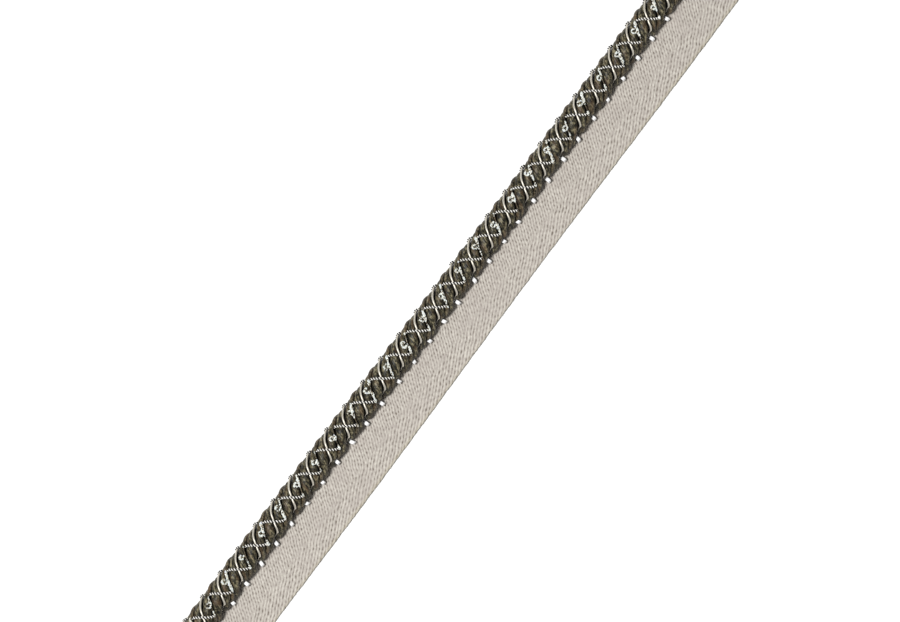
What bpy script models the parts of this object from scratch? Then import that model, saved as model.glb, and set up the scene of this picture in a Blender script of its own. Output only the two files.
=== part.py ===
"""A straight length of flanged cord trim: a twisted cord with silver threads, sewn along one edge of a woven tape.

The trim lies flat along X. The cord is on the +Y side and the tape, which is the sewing lip, is on the -Y side.
The origin is at the middle of the trim's footprint, on the surface that it lies on. Sizes are in metres.
"""

import math

import bmesh
import bpy

# Length of the trim, and how it strays from a straight line
CORD_LENGTH = 0.1893
TAPE_LENGTH = 0.1900
SWAY = 0.0002
SWAY_LENGTH = 0.130
SWAY_CENTRE = 0.010

# The four strands twisted together, which turn right-handed along X
PITCH = 0.01262
STRANDS = 4
CROSSING_TILT = math.radians(7.5)
CORD_CENTRE_Y = 0.00457
CORD_CENTRE_Z = 0.00325
STEPS = 16
FLAT_SPOT = math.radians(16)
SHOULDER_LEAN = math.radians(4)

# Radius of the cord's surface, by steps from the nearest groove and from the nearest binding thread.
# A binding thread presses a channel into the strands that it crosses.
SURFACE = {
    # (from groove, from binding): radius
    (0, 0): 0.00122,
    (0, 2): 0.00125,
    (0, 4): 0.00128,
    (1, 1): 0.00248,
    (1, 3): 0.00278,
    (2, 0): 0.00215,
    (2, 2): 0.00306,
    (2, 4): 0.00318,
}

# Threads, each a three-sided tube: distance from the cord's centre line, and half thickness
BINDING = {"run": 0.00295, "half": 0.00028, "steps": 16, "hand": -1}
SILVER = {"run": 0.00221, "half": 0.00018, "steps": 12, "hand": 1}
GLITTER = {"run": 0.00223, "half": 0.00016, "steps": 12, "hand": 1}
THREAD_SIDES = 3
THREAD_END = 0.0003

# The woven tape, from its outer edge to the edge tucked beneath the cord
TAPE_THICKNESS = 0.0010
TAPE_OUTER_Y = -0.00783
TAPE_ROUNDING = 0.00022
TAPE_FLAT_END_Y = 0.0010
TAPE_PRESSED_Y = 0.0014
TAPE_PRESSED_THICKNESS = 0.00085
TAPE_TUCK_TOP_Y = 0.0020
TAPE_TUCK_BOTTOM_Y = 0.0031
TAPE_STATIONS = 48
EDGE_DRAW = 0.00016
EDGE_DRAW_LENGTH = 0.115
EDGE_DRAW_CENTRE = 0.018

# Colours as they show in the finished trim: red, green, blue, each from 0 to 1
OLIVE_BRONZE = (0.075, 0.066, 0.043)
SILVER_GREY = (0.55, 0.54, 0.50)
GLITTER_WHITE = (0.72, 0.73, 0.72)
STEEL_GREY = (0.34, 0.33, 0.30)
GREIGE = (0.54, 0.49, 0.43)


def sway(x):
    """How far the cord strays across the trim at a place along it."""
    return -SWAY * math.cos(2 * math.pi * (x - SWAY_CENTRE) / SWAY_LENGTH)


def cord_point(x, angle, radius):
    """A place beside the cord's centre line: the angle is from straight up, towards +Y."""
    y = CORD_CENTRE_Y + sway(x) + radius * math.sin(angle)
    return x, y, CORD_CENTRE_Z + radius * math.cos(angle)


def finish(name, colour, roughness, metallic):
    """A material for one kind of yarn."""
    material = bpy.data.materials.new(name)
    material.use_nodes = True
    shader = material.node_tree.nodes["Principled BSDF"]
    shader.inputs["Base Color"].default_value = (*colour, 1)
    shader.inputs["Roughness"].default_value = roughness
    shader.inputs["Metallic"].default_value = metallic
    return material


def lofted(name, sections, slants_back, material, collection):
    """A closed solid through rings of points, each ring fanned shut at the ends.

    Each four-sided cell is split along one diagonal, and slants_back says which for the cell at (around, along).
    """
    mesh = bpy.data.meshes.new(name)
    bm = bmesh.new()
    rings = [[bm.verts.new(point) for point in section] for section in sections]
    for along, (near, far) in enumerate(zip(rings, rings[1:])):
        for around in range(len(near)):
            beside = (around + 1) % len(near)
            a, b, c, d = near[around], near[beside], far[beside], far[around]
            if slants_back(around, along):
                bm.faces.new((a, b, d))
                bm.faces.new((b, c, d))
            else:
                bm.faces.new((a, b, c))
                bm.faces.new((a, c, d))
    for ring in (rings[0], rings[-1]):
        bm.faces.new(ring)
    bmesh.ops.triangulate(bm, faces=[face for face in bm.faces if len(face.verts) > 4])
    bmesh.ops.recalc_face_normals(bm, faces=bm.faces)
    bm.to_mesh(mesh)
    bm.free()
    mesh.shade_smooth()
    mesh.set_sharp_from_angle(angle=math.radians(50))
    mesh.materials.append(material)
    solid = bpy.data.objects.new(name, mesh)
    collection.objects.link(solid)
    return solid


def lattice_steps(around, along):
    """Steps from a lattice point to the nearest groove, and to the nearest binding thread."""
    strand, winding = STEPS // STRANDS, STEPS // 2
    from_groove = (around - along) % strand
    from_binding = (around + along) % winding
    return min(from_groove, strand - from_groove), min(from_binding, winding - from_binding)


def lean(around, along):
    """The turn that draws a strand's two shoulders towards its crown, to leave its grooves open."""
    from_groove = (around - along) % (STEPS // STRANDS)
    return {1: SHOULDER_LEAN, STEPS // STRANDS - 1: -SHOULDER_LEAN}.get(from_groove, 0)


def cord_section(along, x):
    """One ring of the cord's surface, pressed flat where a strand lies on the surface below."""
    ring = []
    for around in range(STEPS):
        steps = lattice_steps(around, along)
        angle = CROSSING_TILT + around * 2 * math.pi / STEPS + lean(around, along)
        radius = SURFACE[steps]
        on_crown = steps[0] > 0 and steps[1] > 1
        if on_crown and math.cos(angle) < -math.cos(FLAT_SPOT):
            radius = -CORD_CENTRE_Z / math.cos(angle)
        ring.append(cord_point(x, angle, radius))
    return ring


def add_cord(material, collection):
    """The four strands as one solid, on a lattice whose diagonals follow the strands and the binding threads."""
    half_rings = round(CORD_LENGTH / PITCH * STEPS / 2)
    places = range(-half_rings, half_rings + 1)
    sections = [cord_section(along, along * PITCH / STEPS) for along in places]

    def under_binding(around, ring):
        return (around + 1 + ring - half_rings) % (STEPS // 2) == 0

    return lofted("cord", sections, under_binding, material, collection)


def add_thread(name, shape, quarter, material, collection, guides):
    """A thread wound round the cord, with its start turned by a number of quarter turns."""
    outline = bpy.data.curves.new(name + "_outline", "CURVE")
    outline.dimensions = "2D"
    corners = outline.splines.new("POLY")
    corners.points.add(THREAD_SIDES - 1)
    for index, corner in enumerate(corners.points):
        turn = -2 * math.pi * index / THREAD_SIDES
        corner.co = (shape["half"] * math.cos(turn), shape["half"] * math.sin(turn), 0, 1)
    corners.use_cyclic_u = True
    guide = bpy.data.objects.new(name + "_outline", outline)
    guide.hide_render = True
    guide.display_type = "WIRE"
    guides.objects.link(guide)

    curve = bpy.data.curves.new(name, "CURVE")
    curve.dimensions = "3D"
    curve.bevel_mode = "OBJECT"
    curve.bevel_object = guide
    curve.use_fill_caps = True
    length = CORD_LENGTH - 2 * THREAD_END
    count = round(length / PITCH * shape["steps"])
    route = curve.splines.new("POLY")
    route.points.add(count)
    for index, point in enumerate(route.points):
        x = length * (index / count - 0.5)
        turn = shape["hand"] * 2 * math.pi * x / PITCH
        point.co = (*cord_point(x, CROSSING_TILT + turn + quarter * math.pi / 2, shape["run"]), 1)
    curve.materials.append(material)
    thread = bpy.data.objects.new(name, curve)
    collection.objects.link(thread)
    return thread


def tape_section(x):
    """The tape's outline across the trim, with its outer edge as uneven as it is woven."""
    draw = EDGE_DRAW * math.cos(2 * math.pi * (x - EDGE_DRAW_CENTRE) / EDGE_DRAW_LENGTH)
    outer = TAPE_OUTER_Y + draw
    top = TAPE_THICKNESS
    return [
        (x, outer + TAPE_ROUNDING, 0),
        (x, TAPE_TUCK_BOTTOM_Y + sway(x), 0),
        (x, TAPE_TUCK_TOP_Y + sway(x), TAPE_PRESSED_THICKNESS),
        (x, TAPE_PRESSED_Y + sway(x), TAPE_PRESSED_THICKNESS),
        (x, TAPE_FLAT_END_Y + sway(x), top),
        (x, outer + TAPE_ROUNDING, top),
        (x, outer, top - TAPE_ROUNDING),
        (x, outer, TAPE_ROUNDING),
    ]


def add_tape(material, collection):
    """The woven tape, flat on the surface, pressed a little thinner where it is sewn beneath the cord."""
    places = [TAPE_LENGTH * (index / TAPE_STATIONS - 0.5) for index in range(TAPE_STATIONS + 1)]
    sections = [tape_section(x) for x in places]
    return lofted("tape", sections, lambda around, along: False, material, collection)


for old in list(bpy.data.objects):
    bpy.data.objects.remove(old, do_unlink=True)

trim = bpy.data.collections.new("flanged_cord_trim")
outlines = bpy.data.collections.new("thread_outlines")
for group in (trim, outlines):
    bpy.context.scene.collection.children.link(group)

add_cord(finish("olive_bronze_viscose", OLIVE_BRONZE, 0.6, 0.0), trim)
add_tape(finish("greige_cotton", GREIGE, 0.9, 0.0), trim)
silver = finish("smooth_silver_thread", SILVER_GREY, 0.35, 0.6)
glitter = finish("glitter_thread", GLITTER_WHITE, 0.2, 0.9)
binding = finish("silver_and_black_twist", STEEL_GREY, 0.4, 0.4)
for letter, start in (("a", 0), ("b", 2)):
    add_thread("silver_thread_" + letter, SILVER, start, silver, trim, outlines)
    add_thread("glitter_thread_" + letter, GLITTER, start + 1, glitter, trim, outlines)
    add_thread("binding_thread_" + letter, BINDING, start, binding, trim, outlines)
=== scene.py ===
"""A straight length of flanged cord trim: a dark cord wound with silver threads, sewn along a greige tape.

The trim lies flat along X, with the cord on the +Y side and the tape on the -Y side. Sizes are in metres.
"""

import math

import bpy
import numpy as np
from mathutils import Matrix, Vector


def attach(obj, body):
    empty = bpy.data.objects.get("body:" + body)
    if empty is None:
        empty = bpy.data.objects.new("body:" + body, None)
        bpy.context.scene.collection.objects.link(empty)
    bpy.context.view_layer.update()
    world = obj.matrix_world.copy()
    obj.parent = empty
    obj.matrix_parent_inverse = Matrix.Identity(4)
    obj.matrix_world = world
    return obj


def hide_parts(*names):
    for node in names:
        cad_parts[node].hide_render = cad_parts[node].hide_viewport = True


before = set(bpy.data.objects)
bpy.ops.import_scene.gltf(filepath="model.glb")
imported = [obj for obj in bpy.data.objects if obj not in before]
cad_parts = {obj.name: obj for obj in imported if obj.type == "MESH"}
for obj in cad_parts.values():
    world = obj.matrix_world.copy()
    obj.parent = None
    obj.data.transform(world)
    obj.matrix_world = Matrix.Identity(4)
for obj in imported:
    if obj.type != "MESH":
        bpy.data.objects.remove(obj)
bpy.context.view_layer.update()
MM = 0.001


# The photographer's table and lamp
# A white sheet of card, one soft lamp high over the cord's side of the trim, and pale walls all round.
# The camera looks straight down through a long lens, turned so that the trim climbs to the upper right.
CARD_WHITE = "#FCFCFC"
CARD_HALF = 1.5
FRAME_WIDTH = 191.1 * MM
CAMERA_LENS = 150
SENSOR_WIDTH = 36
CAMERA_AIM = (1.19 * MM, 1.77 * MM, 3 * MM)
TRIM_SLOPE = math.radians(53.36)
KEY_LAMP = {"place": (-0.15, 0.215, 0.87), "width": 0.16, "power": 8.5}
WALL_LIGHT = 0.24
SHARP_FROM = math.radians(75)


def linear(hex_colour):
    """An sRGB hex colour as the linear red, green, blue and alpha that a shader takes."""
    parts = [int(hex_colour[i:i + 2], 16) / 255 for i in (1, 3, 5)]
    return (*[c / 12.92 if c <= 0.04045 else ((c + 0.055) / 1.055) ** 2.4 for c in parts], 1.0)


def node(tree, kind, inputs=None, **settings):
    """One shader node with its settings. Each input is a value, or the output of another node."""
    made = tree.nodes.new(kind)
    for name, value in settings.items():
        setattr(made, name, value)
    for key, value in (inputs or {}).items():
        if isinstance(value, bpy.types.NodeSocket):
            tree.links.new(value, made.inputs[key])
        else:
            made.inputs[key].default_value = value
    return made


def finish(name, colour, roughness, metallic=0.0):
    """A new material and its shader, with the values that are the same all over the surface."""
    material = bpy.data.materials.new(name)
    material.use_nodes = True
    shader = material.node_tree.nodes["Principled BSDF"]
    shader.inputs["Base Color"].default_value = linear(colour)
    shader.inputs["Roughness"].default_value = roughness
    shader.inputs["Metallic"].default_value = metallic
    return material, material.node_tree, shader


def mark(mesh, name, places):
    """Keeps a place in the weave or in the yarn for each point of a mesh, which its material reads."""
    mesh.attributes.new(name, "FLOAT_VECTOR", "POINT").data.foreach_set("vector", places.ravel())


def solid(name, points, faces, material, smooth=True, lay=None):
    """A mesh object from points and faces. Its lay holds where each point is in the weave or the yarn."""
    mesh = bpy.data.meshes.new(name)
    mesh.from_pydata(np.asarray(points).tolist(), [], faces)
    mesh.materials.append(material)
    if smooth:
        mesh.shade_smooth()
        mesh.set_sharp_from_angle(angle=SHARP_FROM)
    if lay is not None:
        mark(mesh, "lay", lay)
    made = bpy.data.objects.new(name, mesh)
    bpy.context.scene.collection.objects.link(made)
    return made


def skin(rings):
    """Points and faces of a closed skin through rings of points: an array of ring, point and x, y, z."""
    count, sides = rings.shape[:2]
    start = np.arange(count - 1)[:, None] * sides
    around = np.arange(sides)[None, :]
    beside = (around + 1) % sides
    quads = np.stack([start + around, start + sides + around, start + sides + beside, start + beside], -1)
    ends = [tuple(range(sides)), tuple(range(count * sides - 1, (count - 1) * sides - 1, -1))]
    return rings.reshape(-1, 3), quads.reshape(-1, 4).tolist() + ends


def joined(parts):
    """Points and faces of several skins as one mesh."""
    points, faces, offset = [], [], 0
    for part_points, part_faces in parts:
        points.append(part_points)
        faces += [tuple(i + offset for i in face) for face in part_faces]
        offset += len(part_points)
    return np.concatenate(points), faces


card_white, _, _ = finish("white_card", CARD_WHITE, 0.9)
card_corners = [(x * CARD_HALF, y * CARD_HALF, 0) for x, y in ((-1, -1), (1, -1), (1, 1), (-1, 1))]
card = solid("card", card_corners, [(0, 1, 2, 3)], card_white, smooth=False)

camera_data = bpy.data.cameras.new("camera")
camera_data.lens = CAMERA_LENS
camera_data.sensor_width = SENSOR_WIDTH
camera = bpy.data.objects.new("camera", camera_data)
camera_height = FRAME_WIDTH * CAMERA_LENS / SENSOR_WIDTH
camera.location = (CAMERA_AIM[0], CAMERA_AIM[1], CAMERA_AIM[2] + camera_height)
camera.rotation_euler = (0, 0, -TRIM_SLOPE)
bpy.context.scene.collection.objects.link(camera)
bpy.context.scene.camera = camera

lamp = bpy.data.lights.new("soft_lamp", "AREA")
lamp.size = KEY_LAMP["width"]
lamp.energy = KEY_LAMP["power"]
lamp_holder = bpy.data.objects.new("soft_lamp", lamp)
lamp_holder.location = KEY_LAMP["place"]
lamp_holder.rotation_euler = (-Vector(KEY_LAMP["place"])).to_track_quat("-Z", "Y").to_euler()
bpy.context.scene.collection.objects.link(lamp_holder)

walls = bpy.data.worlds.new("pale_walls")
walls.use_nodes = True
walls.node_tree.nodes["Background"].inputs["Color"].default_value = (1, 1, 1, 1)
walls.node_tree.nodes["Background"].inputs["Strength"].default_value = WALL_LIGHT
bpy.context.scene.world = walls
bpy.context.scene.view_settings.view_transform = "Standard"


# The woven tape, which is the sewing lip
# Cotton tape in greige, just under 1 mm thick, woven in slanting ribs of short floats with small pits
# between them; shade is painted into the pits and a highlight onto the floats' tops. The ribs lean over more
# in its outer half, where the weave changes. The tape is sewn beneath the cord, and pressed a little thinner
# there.
TAPE_LENGTH = 190 * MM
TAPE_OUTER_Y = -7.76 * MM
TAPE_TUCK_Y = 2.0 * MM
TAPE_TUCK_BOTTOM_Y = 3.1 * MM
TAPE_BODY = 0.90 * MM
TAPE_PRESSED = 0.76 * MM
TAPE_PRESSED_FROM_Y = 0.9 * MM
EDGE_DRAW = 0.16 * MM
EDGE_DRAW_LENGTH = 115 * MM
EDGE_DRAW_CENTRE = 18 * MM
# For the inner and the outer band: the ribs' lean from the trim's length in degrees, their spacing, and the
# distance from pit to pit along a rib. Each rib's pits are staggered by a share of that distance.
RIBS = ((52, 0.59 * MM, 1.00 * MM), (27, 0.65 * MM, 1.40 * MM))
STAGGER = 0.56
BAND_CHANGE_Y = -3.1 * MM
BAND_BLEND = 1.3 * MM
RELIEF = 0.08 * MM
EDGE_ROUNDING = 0.03 * MM
EDGE_ROUNDING_WIDTH = 0.08 * MM
TAPE_COLUMNS = 1160
TAPE_ROWS = 49
# How unevenly it is woven: the amount, and the wavelengths in millimetres
EDGE_STRAY = (0.07 * MM, (9, 5.3, 3.1, 1.3))
LEAN_STRAY = (0.03, (70, 41, 29))
RIB_STRAY = (0.16, (7.1, 4.3, 2.9))
RIB_SHIVER = (0.13, (2.3, 1.7, 1.1))
PIT_STRAY = (0.30, (3.7, 2.1, 1.6))
SWAY = 0.2 * MM
SWAY_LENGTH = 130 * MM
SWAY_CENTRE = 10 * MM
GREIGE = "#B3ADA3"
GREIGE_PINK = "#AFA69F"
# Painted shade for the weave's pits, then a painted highlight for the floats' tops
PAINTED_PIT_SHADE = "#6E655A"
PAINTED_FLOAT_HIGHLIGHT = "#D2CCC2"
SELVEDGE_YELLOW = "#AFA68A"


def sway(x):
    """How far the cord strays across the trim at a place along it."""
    return -SWAY * np.cos(2 * math.pi * (x - SWAY_CENTRE) / SWAY_LENGTH)


def waver(x, amount, lengths, seed):
    """A smooth unevenness of up to about the amount either way, from sines of a few wavelengths."""
    phases = np.random.default_rng(seed).uniform(0, 2 * math.pi, len(lengths))
    waves = [np.sin(2 * math.pi * x / (length * MM) + phase) for length, phase in zip(lengths, phases)]
    return amount * (sum(waves) / len(lengths))


def rib_lay(x, y, band):
    """Where a place lies in one band's weave: ribs across, and pits along the rib, both counted from 0."""
    rib_lean, spacing, pit_step = RIBS[band]
    rib_lean = math.radians(rib_lean)
    lean = rib_lean + waver(x, *LEAN_STRAY, 7 + band)
    depth = y - BAND_CHANGE_Y
    across = (x * math.sin(rib_lean) - depth * np.cos(lean)) / spacing
    along = (x * math.cos(rib_lean) + depth * np.sin(lean)) / pit_step
    across = across + waver(x + 0.6 * y, *RIB_STRAY, 17 + band)
    across = across + waver(0.5 * x - y, *RIB_SHIVER, 27 + band)
    return across, along + waver(x - 0.8 * y, *PIT_STRAY, 37 + band)


def woven_tape():
    """The tape's mesh, closed by a plain underside, with each point's lay in its band's weave."""
    xs = np.linspace(-TAPE_LENGTH / 2, TAPE_LENGTH / 2, TAPE_COLUMNS)
    share = np.concatenate([[0, 0.004], np.linspace(0.02, 1, TAPE_ROWS)])
    x, t = np.meshgrid(xs, share, indexing="ij")
    draw = EDGE_DRAW * np.cos(2 * math.pi * (x - EDGE_DRAW_CENTRE) / EDGE_DRAW_LENGTH)
    outer = TAPE_OUTER_Y + draw + waver(x, *EDGE_STRAY, 5)
    y = outer + t * (TAPE_TUCK_Y + sway(x) - outer)
    pressed = np.clip((y - sway(x) - TAPE_PRESSED_FROM_Y) / (0.5 * MM), 0, 1)
    height = 0
    for band, side in ((0, 1), (1, -1)):
        across, along = rib_lay(x, y, band)
        share_of_band = np.clip(0.5 + side * (y - BAND_CHANGE_Y) / BAND_BLEND, 0, 1)
        pits = 0.7 - 0.3 * np.cos(2 * math.pi * (along + STAGGER * np.round(across)))
        height = height + share_of_band * (1 - (0.5 + 0.5 * np.cos(2 * math.pi * across)) * pits)
    rounded = EDGE_ROUNDING * np.exp(-(y - outer) / EDGE_ROUNDING_WIDTH)
    z = TAPE_BODY + (TAPE_PRESSED - TAPE_BODY) * pressed + RELIEF * height - rounded
    top = np.stack([x, y, z], -1)
    outer = outer[:, 0]
    tuck = np.stack([xs, TAPE_TUCK_BOTTOM_Y + sway(xs), 0 * xs + 0.01 * MM], -1)
    hem = np.stack([xs, outer + 0.12 * MM, 0 * xs + 0.01 * MM], -1)
    edge = np.stack([xs, outer - 0.07 * MM, 0 * xs + 0.25 * MM], -1)
    points, faces = skin(np.concatenate([top, tuck[:, None], hem[:, None], edge[:, None]], 1))
    x, y = points[:, 0], points[:, 1]
    return points, faces, np.stack([*rib_lay(x, y, 0), 0 * x], -1), np.stack([*rib_lay(x, y, 1), y / MM], -1)


def maths(tree, operation, *values):
    """The output of a sum on values or on other nodes' outputs."""
    return node(tree, "ShaderNodeMath", dict(enumerate(values)), operation=operation).outputs[0]


def ranged(tree, value, low, high, to_low=0.0, to_high=1.0):
    """A value that runs from low to high, kept within them and stretched to run from to_low to to_high."""
    return node(tree, "ShaderNodeMapRange", {"Value": value, "From Min": low, "From Max": high,
                                             "To Min": to_low, "To Max": to_high}).outputs["Result"]


def noise(tree, place, scale, detail, roughness=0.5):
    """Random mottling, from 0 to 1."""
    return node(tree, "ShaderNodeTexNoise", {"Vector": place, "Scale": scale, "Detail": detail,
                                             "Roughness": roughness}).outputs["Fac"]


def mixed(tree, factor, first, second):
    """Two colours mixed: the first alone at factor 0, the second alone at 1."""
    return node(tree, "ShaderNodeMix", {"Factor": factor, "A": first, "B": second},
                data_type="RGBA").outputs["Result"]


def colour_ramp(tree, factor, stops):
    """A colour that changes with the factor through stops, each a position and a hex colour."""
    made = node(tree, "ShaderNodeValToRGB", {"Fac": factor})
    elements = made.color_ramp.elements
    for element, (position, colour) in ((elements[0], stops[0]), (elements[1], stops[-1])):
        element.position, element.color = position, linear(colour)
    for position, colour in stops[1:-1]:
        elements.new(position).color = linear(colour)
    return made.outputs["Color"]


def roughen(tree, shader, height, strength, distance):
    """Raises a material's surface by a height."""
    bump = node(tree, "ShaderNodeBump", {"Height": height, "Strength": strength, "Distance": distance})
    tree.links.new(bump.outputs["Normal"], shader.inputs["Normal"])


def woven_floats(tree, name):
    """A band's floats and its pits from the points' lay: 1 on the middle of a float, 0 in a pit."""
    lay = node(tree, "ShaderNodeAttribute", attribute_name=name).outputs["Vector"]
    parts = node(tree, "ShaderNodeSeparateXYZ", {"Vector": lay}).outputs
    row = maths(tree, "ROUND", parts["X"])
    from_row = maths(tree, "PINGPONG", parts["X"], 0.5)
    place = maths(tree, "PINGPONG", maths(tree, "MULTIPLY_ADD", row, STAGGER, parts["Y"]), 0.5)
    gap = ranged(tree, from_row, 0.02, 0.38, 1.0, 0.0)
    pit = ranged(tree, place, 0.08, 0.40, -0.50, -0.95)
    return maths(tree, "MULTIPLY_ADD", gap, pit, 1.0), parts["Z"]


cotton, tree, shader = finish("greige_woven_cotton", GREIGE, 0.88)
inner_floats, _ = woven_floats(tree, "lay")
outer_floats, across_trim = woven_floats(tree, "outer_lay")
change, blend = BAND_CHANGE_Y / MM, BAND_BLEND / MM / 2
band = ranged(tree, across_trim, change - blend, change + blend)
weave = node(tree, "ShaderNodeMix", {0: band, 2: outer_floats, 3: inner_floats}, data_type="FLOAT").outputs[0]
place = node(tree, "ShaderNodeTexCoord").outputs["Object"]
depth = maths(tree, "MULTIPLY_ADD", noise(tree, place, 1700.0, 3.0), 1.3, weave)
# The colour follows the floats' height: painted shade in the pits and a painted highlight on the floats'
# tops, mottled at random.
yarn = colour_ramp(tree, ranged(tree, depth, 0.68, 1.86), (
    (0.0, PAINTED_PIT_SHADE), (0.38, GREIGE_PINK), (0.62, GREIGE), (1.0, PAINTED_FLOAT_HIGHLIGHT)))
blotches = ranged(tree, noise(tree, place, 230.0, 3.0), 0.45, 0.7, to_high=0.35)
yarn = mixed(tree, blotches, yarn, linear(GREIGE_PINK))
selvedge = ranged(tree, across_trim, -7.2, -7.9, to_high=0.45)
yarn = mixed(tree, selvedge, yarn, linear(SELVEDGE_YELLOW))
tree.links.new(yarn, shader.inputs["Base Color"])
roughen(tree, shader, depth, 0.7, 0.07 * MM)

points, faces, inner_lay, outer_lay = woven_tape()
tape = solid("woven_tape", points, faces, cotton, lay=inner_lay)
mark(tape.data, "outer_lay", outer_lay)
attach(tape, "root")
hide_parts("tape")


# The four twisted strands
# Each strand is a bundle of dark olive bronze viscose yarns, and the four are twisted right-handed into the
# cord. They swell between the binding threads that press on them, and deep grooves part them, with shade
# painted black down in the grooves.
CORD_LENGTH = 189.3 * MM
STRAND_SPARE = 1.2 * MM
STRAND_STATIONS = 547
CUT_END_DEPTH = 2.6 * MM
PITCH = 12.62 * MM
CORD_CENTRE_Y = 4.91 * MM
CORD_CENTRE_Z = 3.09 * MM
STRAND_RUN = 1.68 * MM
STRAND_HALF_DEEP = 1.12 * MM
STRAND_HALF_WIDE = 0.94 * MM
FLANK_SPREAD = 0.45 * MM
FLANK_FROM_MIDDLE = 2.8 * MM
FLANK_TOP = 1.6 * MM
STITCH_STEP = 5.35 * MM
STITCH_START = -1.5 * MM
STITCH_STRAY = 0.18 * MM
STITCH_PINCH = 0.6 * MM
STITCH_DRAWS_IN = 1.7
YARNS = 14
YARN_RELIEF = 0.06 * MM
YARN_TURNS = 0.5
BINDING_RUN = 2.74 * MM
BINDING_RISE = 0.20 * MM
BINDING_SUNK = 2.25 * MM
BINDING_HALF = 0.27 * MM
CHANNEL_RISE = 0.38 * MM
CHANNEL_HALF_WIDE = 0.55 * MM
# How far the grooves with the silver and with the glitter threads are drawn along the trim: angles in degrees
# from straight up towards the free side, and the millimetres at each
SILVER_DRAWN = ((-90, -60, -47, -35, -20, 0, 25, 40, 51, 63, 78, 90, 270),
                (0, 0, 0.15, 0.20, 0.10, 0, -0.07, 0.03, 0.25, 0.36, 0.30, 0, 0))
GLITTER_DRAWN = ((-90, -40, 0, 40, 65, 270), (0, -0.05, -0.30, -0.25, 0, 0))
# The yarn's dark, middle and light tones
OLIVE_BRONZE = ("#0B0A07", "#3B3726", "#968D70")
PEACH_BROWN = "#675039"
# Painted shade: the viscose turns black below 2.80 mm from the cord's centre line, wholly black below 2.15 mm
GROOVE_PAINTED_SHADE = "#030303"
FIBRE_SHEEN = "#E6D8B4"


def winding(x, turns_right=True, start=0.0):
    """The angle from straight up of something wound round the cord, at a place along it."""
    return start + (1 if turns_right else -1) * 2 * math.pi * x / PITCH


def drawn_along(x, angle):
    """How far the twist is drawn along the trim at a place round the cord."""
    place = (np.degrees(angle) + 90) % 360 - 90
    by_silver = np.cos(angle - winding(x)) ** 2
    silver_drawn, glitter_drawn = np.interp(place, *SILVER_DRAWN), np.interp(place, *GLITTER_DRAWN)
    return (by_silver * silver_drawn + (1 - by_silver) * glitter_drawn) * MM


def around_cord(x, angle, radius):
    """Points beside the cord's centre line."""
    y = CORD_CENTRE_Y + sway(x) + radius * np.sin(angle)
    return np.stack([x, y, CORD_CENTRE_Z + radius * np.cos(angle)], -1)


def outward_from_cord(angle):
    """The direction straight out from the cord's centre line."""
    return np.stack([0 * angle, np.sin(angle), np.cos(angle)], -1)


def swept(path, outward, deep, wide):
    """Rings round a path: deep runs outward from the cord, wide across the path, each by ring and point."""
    ahead = np.gradient(path, axis=0)
    ahead /= np.linalg.norm(ahead, axis=1, keepdims=True)
    side = np.cross(ahead, outward)
    side /= np.linalg.norm(side, axis=1, keepdims=True)
    up = np.cross(side, ahead)
    return path[:, None] + deep[..., None] * up[:, None] + wide[..., None] * side[:, None]


def on_the_side(angle):
    """1 where a place is on the cord's two sides, and 0 over its top and its underside."""
    rise = np.clip((np.abs(np.sin(angle)) - 0.65) / 0.14, 0, 1)
    return rise * rise * (3 - 2 * rise)


def on_a_shoulder(angle):
    """1 on the cord's shoulders and beside the tape, and 0 over its top, its underside and its free side."""
    return on_the_side(angle) * (1 - np.clip((np.sin(angle) - 0.90) / 0.06, 0, 1))


def binding_run(x, angle):
    """The binding thread's distance from the centre line: proud over the silver, sunk on the shoulders."""
    over = BINDING_RUN + BINDING_RISE * np.cos(8 * math.pi * x / PITCH)
    return over + (BINDING_SUNK - over) * on_a_shoulder(angle)


def stitch_places():
    """The places along the trim of the stitches that hold the cord to the tape."""
    strayed = np.random.default_rng(21).normal(0, STITCH_STRAY, 35)
    places = STITCH_START + STITCH_STEP * np.arange(-17, 18) + strayed
    return places[np.abs(places) < CORD_LENGTH / 2 - 1 * MM]


def pressed(points):
    """A strand's points: pressed by binding threads and stitches, spread over the tape, cut at the ends."""
    across = points[..., 1] - CORD_CENTRE_Y - sway(points[..., 0])
    height = points[..., 2] - CORD_CENTRE_Z
    radius = np.hypot(across, height)
    angle = np.arctan2(across, height)
    x = points[..., 0] + drawn_along(points[..., 0], angle)
    apart = (angle - winding(x, turns_right=False) + math.pi / 2) % math.pi - math.pi / 2
    beside = np.abs(apart) * radius / np.hypot(1, 2 * math.pi * radius / PITCH)
    allowed = binding_run(x, 0) - 0.85 * BINDING_HALF + CHANNEL_RISE * (beside / CHANNEL_HALF_WIDE) ** 2
    allowed = allowed + on_a_shoulder(angle) * MM
    scale = np.minimum(radius, allowed) / radius
    low = np.clip(1 - height * scale / FLANK_TOP, 0, 1)
    spread = np.clip(-across * scale / FLANK_FROM_MIDDLE, 0, 1) ** 2 * low
    from_stitch = np.abs(x[..., None] - stitch_places()).min(-1)
    spread = spread * (1 - STITCH_DRAWS_IN * np.exp(-(from_stitch / STITCH_PINCH) ** 2))
    y = points[..., 1] + across * (scale - 1) - FLANK_SPREAD * spread
    cut = np.clip(x, -CORD_LENGTH / 2, CORD_LENGTH / 2)
    return np.stack([cut, y, np.maximum(CORD_CENTRE_Z + height * scale, 0.03 * MM)], -1), radius * scale


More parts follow.
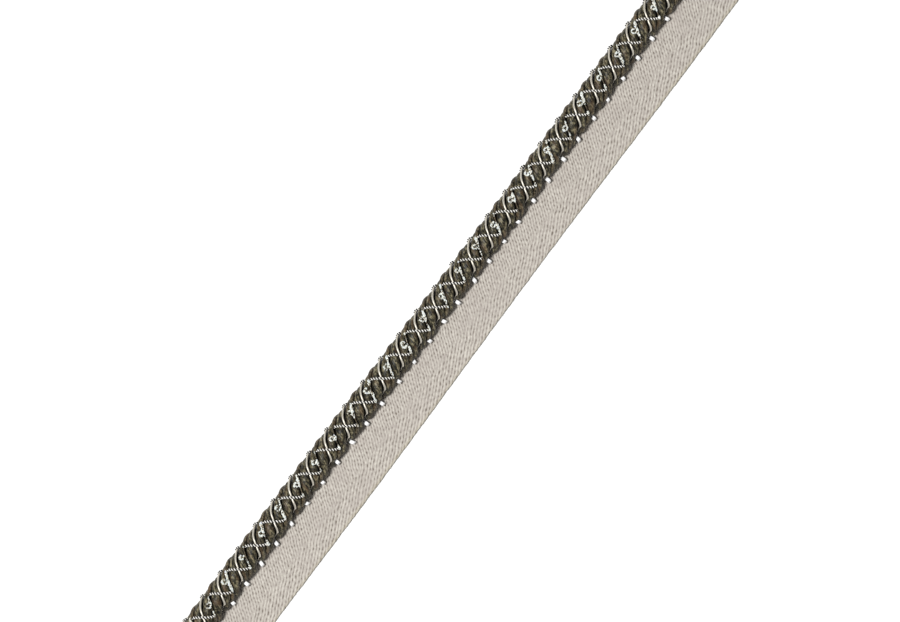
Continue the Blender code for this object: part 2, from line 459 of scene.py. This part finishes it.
def strand(start):
    """One strand's mesh with its yarns' ridges, and each point's place round it, along it and its depth."""
    x = np.linspace(-CORD_LENGTH / 2 - STRAND_SPARE, CORD_LENGTH / 2 + STRAND_SPARE, STRAND_STATIONS)
    angle = winding(x, start=start)
    sides = 4 * YARNS
    turn = np.linspace(0, 2 * math.pi, sides, endpoint=False)[None, :] + math.pi
    turned = turn - 2 * math.pi * YARN_TURNS * x[:, None] / PITCH
    ridge = YARN_RELIEF * (np.abs(np.cos(YARNS / 2 * turn)) - 0.75)
    deep = (STRAND_HALF_DEEP + ridge) * np.cos(turned)
    wide = (STRAND_HALF_WIDE + ridge) * np.sin(turned)
    rings = swept(around_cord(x, angle, STRAND_RUN), outward_from_cord(angle), deep, wide)
    rings, radius = pressed(rings)
    points, faces = skin(rings)
    # The depth drives the painted groove shade; the cut ends get a depth that keeps that shade off them.
    depth = np.where(np.abs(rings[..., 0]) < CORD_LENGTH / 2, radius, CUT_END_DEPTH)
    lay = np.stack([turn * STRAND_HALF_WIDE + 0 * x[:, None], x[:, None] * 1.3 + 0 * turn, depth], -1) / MM
    return points, faces, lay.reshape(-1, 3)


def yarn_noise(tree, lay, place, scale, detail, roughness=0.5):
    """Mottling laid round and along a yarn, at a place and a scale of its own."""
    laid = node(tree, "ShaderNodeMapping", {"Vector": lay, "Location": place, "Scale": scale})
    return noise(tree, laid.outputs["Vector"], 1.0, detail, roughness)


def viscose(name, seed, dark, middle, light):
    """Viscose yarn: a soft shine, paler streaks along single yarns, and painted shade, black, down in the
    grooves.
    """
    material, tree, shader = finish(name, middle, 0.48)
    shader.inputs["Specular IOR Level"].default_value = 0.35
    shader.inputs["Sheen Weight"].default_value = 0.05
    shader.inputs["Sheen Tint"].default_value = linear(FIBRE_SHEEN)
    lay = node(tree, "ShaderNodeAttribute", attribute_name="lay").outputs["Vector"]
    depth = node(tree, "ShaderNodeSeparateXYZ", {"Vector": lay}).outputs["Z"]
    streaks = yarn_noise(tree, lay, (seed, 0, 0), (3.2, 0.55, 0), 4.0, 0.7)
    patches = yarn_noise(tree, lay, (3, seed, 0), (0.9, 0.35, 0), 1.0)
    mottle = yarn_noise(tree, lay, (seed, 5, 0), (1.7, 1.3, 0), 3.0, 0.8)
    shade = ranged(tree, maths(tree, "MULTIPLY_ADD", mottle, 1.5, streaks), 1.04, 1.50)
    yarn = colour_ramp(tree, shade, ((0.10, dark), (0.50, middle), (0.95, light)))
    yarn = mixed(tree, ranged(tree, patches, 0.54, 0.70, to_high=0.5), yarn, linear(PEACH_BROWN))
    # Painted shade: black mixed into the yarn's colour by its depth below the strands' crowns, deepest in the
    # grooves.
    yarn = mixed(tree, ranged(tree, depth, 2.15, 2.80), linear(GROOVE_PAINTED_SHADE), yarn)
    tree.links.new(yarn, shader.inputs["Base Color"])
    roughen(tree, shader, streaks, 0.6, 0.08 * MM)
    return material


for number in range(4):
    points, faces, lay = strand(math.radians(45 + 90 * number))
    bronze = viscose(f"olive_bronze_viscose_{number + 1}", 10.0 * number, *OLIVE_BRONZE)
    piece = solid(f"strand_{number + 1}", points, faces, bronze, lay=lay)
    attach(piece, "root")
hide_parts("cord")


# The smooth silver threads
# Two round threads of silver metallised film over a core, laid proud over opposite grooves of the cord. They
# duck under the binding threads, and go down between the strands beside the tape.
THREAD_LENGTH = CORD_LENGTH - 1.2 * MM
SILVER_RUN = 2.88 * MM
SILVER_HALF = 0.21 * MM
SILVER_DUCK = 0.28 * MM
SILVER = "#DBD5C7"
SILVER_SUNK = 0.50 * MM


def crossing(x, place):
    """1 where something wound right-handed meets a binding thread, and falling quickly to 0 on each side."""
    return ((1 + np.cos(2 * math.pi * (4 * x / PITCH - place))) / 2) ** 3


def laid_thread(start, run, half, sides, steps_a_turn):
    """A round thread's mesh, laid along a groove of the cord, and each point's lay as for a strand."""
    x = np.linspace(-THREAD_LENGTH / 2, THREAD_LENGTH / 2, round(THREAD_LENGTH / PITCH * steps_a_turn) + 1)
    angle = winding(x, start=start)
    turn = np.linspace(0, 2 * math.pi, sides, endpoint=False)[None, :]
    path = around_cord(x, angle, run(x, angle))
    path[:, 0] += drawn_along(x, angle)
    half = (half(angle) + 0 * x)[:, None]
    path[:, 2] = np.maximum(path[:, 2], half[:, 0] + 0.01 * MM)
    points, faces = skin(swept(path, outward_from_cord(angle), half * np.cos(turn), half * np.sin(turn)))
    depth = np.hypot(points[:, 1] - CORD_CENTRE_Y - sway(points[:, 0]), points[:, 2] - CORD_CENTRE_Z)
    lay = np.stack([(half * turn).ravel(), points[:, 0] * 1.7, depth], -1) / MM
    return points, faces, lay


def beside_tape(angle):
    """1 where a place is low on the cord's side beside the tape, and 0 over its top and its free side."""
    return np.clip((-np.sin(angle) - 0.70) / 0.14, 0, 1)


def silver_run(x, angle):
    """The silver thread's distance from the centre line: it goes down between the strands beside the tape."""
    return SILVER_RUN - SILVER_DUCK * crossing(x, 0.0) - SILVER_SUNK * beside_tape(angle)


def silver_half(angle):
    """Half the thickness of the silver thread, drawn thin where the strands close over it."""
    return SILVER_HALF * (1 - 0.85 * beside_tape(angle))


silver, tree, shader = finish("silver_metallised_thread", SILVER, 0.45, 0.6)
place = node(tree, "ShaderNodeTexCoord").outputs["Object"]
roughen(tree, shader, noise(tree, place, 1900.0, 2.0), 0.25, 0.03 * MM)
for letter, start in (("a", 0.0), ("b", math.pi)):
    points, faces, _ = laid_thread(start, silver_run, silver_half, 10, 64)
    piece = solid("silver_line_" + letter, points, faces, silver)
    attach(piece, "root")
    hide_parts("silver_thread_" + letter)


# The glitter threads
# Two brown viscose yarns wrapped in flat metallised film, laid in the cord's other two grooves. The film is
# crumpled into facets that catch the lamp or turn away from it, and its colour is also painted at random with
# dark patches and white flashes, as painted reflections, among its own pale tints. Once a turn a loop of it
# stands out beside the thread. It shows on the cord's top, and the fuller yarn shows on its sides.
GLITTER_RUN = 2.90 * MM
GLITTER_SUNK = 0.24 * MM
CORE_HALF = 0.13 * MM
CORE_HALF_ON_SIDE = 0.42 * MM
FILM_HALF = 0.23 * MM
FILM_FACETS = 110
LOOP_PLACE = 2.55 * MM
LOOP_ANGLE = math.radians(14)
LOOP_RUN = 3.0 * MM
LOOP_HALF = 0.50 * MM
LOOP_FILM = 0.21 * MM
GATHER_STEP = 0.5 * MM
FILM_WHITE = "#F2F3F0"
# The film's colours, each with its place on the random mottling: painted dark and painted white flashes, as
# painted reflections, among the film's own pale gold, green and violet tints
FILM_TINTS_AND_PAINTED_FLASHES = ((0.38, "#3A362C"), (0.44, "#C4BA9C"), (0.50, "#F8F8F6"), (0.60, "#DDE8DC"), (0.74, "#CFCFE6"))
# The yarn's dark, middle and light tones
BROWN_YARN = ("#14110B", "#484031", "#83785F")
# Each thread's letter, its start, the place of its first loop and its seed
GLITTER_THREADS = (("a", math.pi / 2, LOOP_PLACE, 11), ("b", -math.pi / 2, LOOP_PLACE - PITCH / 2, 12))


def glitter_run(x, angle):
    """The glitter thread's distance from the centre line."""
    return GLITTER_RUN + 0.08 * MM * crossing(x, 0.5) - GLITTER_SUNK * on_the_side(angle)


def core_half(angle):
    """Half the thickness of the glitter thread's yarn."""
    return CORE_HALF + (CORE_HALF_ON_SIDE - CORE_HALF) * on_the_side(angle)


def crumpled_film(path, outward, half, draw):
    """A film's mesh: a tube round a path, crumpled into facets that each face their own way."""
    turn = np.linspace(0, 2 * math.pi, 6, endpoint=False)[None, :] + draw.uniform(-0.3, 0.3, (len(path), 6))
    radius = half[:, None] * draw.uniform(0.7, 1.25, (len(path), 6))
    rings = swept(path, outward, radius * np.cos(turn), radius * np.sin(turn))
    rings[..., 2] = np.maximum(rings[..., 2], 0.02 * MM)
    return skin(rings)


def film_thread(start, seed):
    """The film of one glitter thread, gathered more in some places than in others."""
    x = np.linspace(-THREAD_LENGTH / 2, THREAD_LENGTH / 2, round(THREAD_LENGTH / PITCH * FILM_FACETS) + 1)
    angle = winding(x, start=start)
    path = around_cord(x, angle, glitter_run(x, angle))
    path[:, 0] += drawn_along(x, angle)
    path[:, 2] = np.maximum(path[:, 2], 0.3 * MM)
    draw = np.random.default_rng(seed)
    gathered = np.interp(x, np.arange(-190, 192) * GATHER_STEP, draw.uniform(0.2, 1.7, 382))
    half = FILM_HALF * gathered * (1 - 0.7 * on_the_side(angle))
    return crumpled_film(path, outward_from_cord(angle), half, draw)


def film_loops(first, seed):
    """The loops of film that stand out beside one glitter thread, one a turn."""
    draw = np.random.default_rng(seed)
    loops = []
    for number in range(-8, 9):
        middle = first + number * PITCH
        if abs(middle) > CORD_LENGTH / 2 - 1.5 * MM:
            continue
        turn = np.linspace(0.5, 5.8, 13) + draw.uniform(-0.5, 0.5)
        reach = LOOP_HALF * np.interp(turn, np.linspace(0, 6.3, 6), draw.uniform(0.7, 1.25, 6))
        x = middle + draw.normal(0, 0.2 * MM) + reach * np.cos(turn)
        angle = LOOP_ANGLE + draw.normal(0, 0.07) + reach * np.sin(turn) / LOOP_RUN
        path = around_cord(x, angle, LOOP_RUN + draw.normal(0, 0.03 * MM, 13))
        half = LOOP_FILM * draw.uniform(0.4, 1.6, 13)
        loops.append(crumpled_film(path, outward_from_cord(angle), half, draw))
    return loops


film, tree, shader = finish("flashing_film", FILM_WHITE, 0.28, 0.05)
place = node(tree, "ShaderNodeTexCoord").outputs["Object"]
# Painted reflections: the film's colour is mottled at random into dark patches and white flashes.
tree.links.new(colour_ramp(tree, noise(tree, place, 2600.0, 1.0), FILM_TINTS_AND_PAINTED_FLASHES), shader.inputs["Base Color"])
brown_yarn = viscose("brown_viscose_yarn", 50.0, *BROWN_YARN)
for letter, start, first, seed in GLITTER_THREADS:
    parts = [film_thread(start, seed), *film_loops(first, seed + 10)]
    piece = solid("glitter_film_" + letter, *joined(parts), film, smooth=False)
    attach(piece, "root")
    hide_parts("glitter_thread_" + letter)
    points, faces, lay = laid_thread(start, glitter_run, core_half, 12, 48)
    core = solid("glitter_core_" + letter, points, faces, brown_yarn, lay=lay)
    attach(core, "root")


# The binding threads
# Two threads wound left-handed, each a twist of one silver and one black ply, which show as slanting strokes
# 0.65 mm apart. They are wound tightly over the silver threads and sink into the strands on the shoulders.
SILVER_PLY = {"from_middle": 0.14 * MM, "half": 0.175 * MM, "half_on_side": 0.10 * MM, "start": 0.0}
BLACK_PLY = {"from_middle": 0.11 * MM, "half": 0.18 * MM, "half_on_side": 0.21 * MM, "start": math.pi}
PLY_PITCH = 0.65 * MM
PLY_STEPS = 8
PLY_WHITE = "#FBF8F0"
PLY_BLACK = "#0C0B09"


def binding_path(start):
    """The binding thread's centre line, kept just clear of the table, and its angle along it."""
    stretch = math.hypot(1, 2 * math.pi * BINDING_RUN / PITCH)
    count = round(THREAD_LENGTH * stretch / PLY_PITCH * PLY_STEPS) + 1
    x = np.linspace(-THREAD_LENGTH / 2, THREAD_LENGTH / 2, count)
    angle = winding(x, turns_right=False, start=start)
    path = around_cord(x, angle, binding_run(x, angle))
    path[:, 2] = np.maximum(path[:, 2], BINDING_HALF + 0.05 * MM)
    return path, angle


def twisted_ply(start, ply):
    """One ply of a binding thread. The black ply lies outermost on the cord's sides."""
    path, angle = binding_path(start)
    turn = np.linspace(0, 2 * math.pi, 6, endpoint=False)[None, :]
    lay = (2 * math.pi * np.arange(len(path)) / PLY_STEPS + ply["start"])[:, None]
    half = (ply["half"] + (ply["half_on_side"] - ply["half"]) * on_the_side(angle))[:, None]
    rings = swept(path, outward_from_cord(angle), ply["from_middle"] * np.cos(lay) + half * np.cos(turn),
                  ply["from_middle"] * np.sin(lay) + half * np.sin(turn))
    rings[..., 2] = np.maximum(rings[..., 2], 0.02 * MM)
    return skin(rings)


ply_silver, _, _ = finish("silver_ply", PLY_WHITE, 0.40, 0.1)
ply_black, _, _ = finish("black_ply", PLY_BLACK, 0.7)
for letter, start in (("a", 0.0), ("b", math.pi)):
    bright = solid("binding_silver_" + letter, *twisted_ply(start, SILVER_PLY), ply_silver)
    dark = solid("binding_black_" + letter, *twisted_ply(start, BLACK_PLY), ply_black)
    for piece in (bright, dark):
        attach(piece, "root")
    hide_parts("binding_thread_" + letter)


# The white stitches
# Bright white polyester sewing thread, one short stitch every 5.35 mm, each coming up through the tape and
# going into the cord's flank. They keep no step with the cord's twist.
STITCH_HALF = 0.22 * MM
STITCH_APART = 0.38 * MM
STITCH_WHITE = "#FFFFFF"
# A stitch's way from the tape into the cord, in millimetres: across the trim, and up
STITCH_WAY = ((1.22, 0.75), (1.22, 1.60), (1.27, 2.30), (1.40, 2.75), (1.58, 2.92), (1.84, 2.84),
              (2.15, 2.45))


def stitches():
    """All the stitches, each two threads side by side."""
    draw = np.random.default_rng(22)
    way = np.array(STITCH_WAY) * MM
    turn = np.linspace(0, 2 * math.pi, 8, endpoint=False)[None, :]
    made = []
    for middle in stitch_places():
        lean = draw.uniform(-0.2, 0.2) * MM
        for side in (-1, 1):
            x = middle + side * STITCH_APART / 2 + lean * np.linspace(-1, 1, len(way))
            path = np.stack([x, way[:, 0] + sway(x), way[:, 1]], -1)
            outward = np.stack([0 * x, -np.ones(len(x)), np.linspace(0.3, 2.5, len(x))], -1)
            half = STITCH_HALF + 0 * x[:, None]
            made.append(skin(swept(path, outward, half * np.cos(turn), half * np.sin(turn))))
    return joined(made)


polyester, _, _ = finish("white_polyester_thread", STITCH_WHITE, 0.5)
sewing = solid("white_stitches", *stitches(), polyester)
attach(sewing, "root")
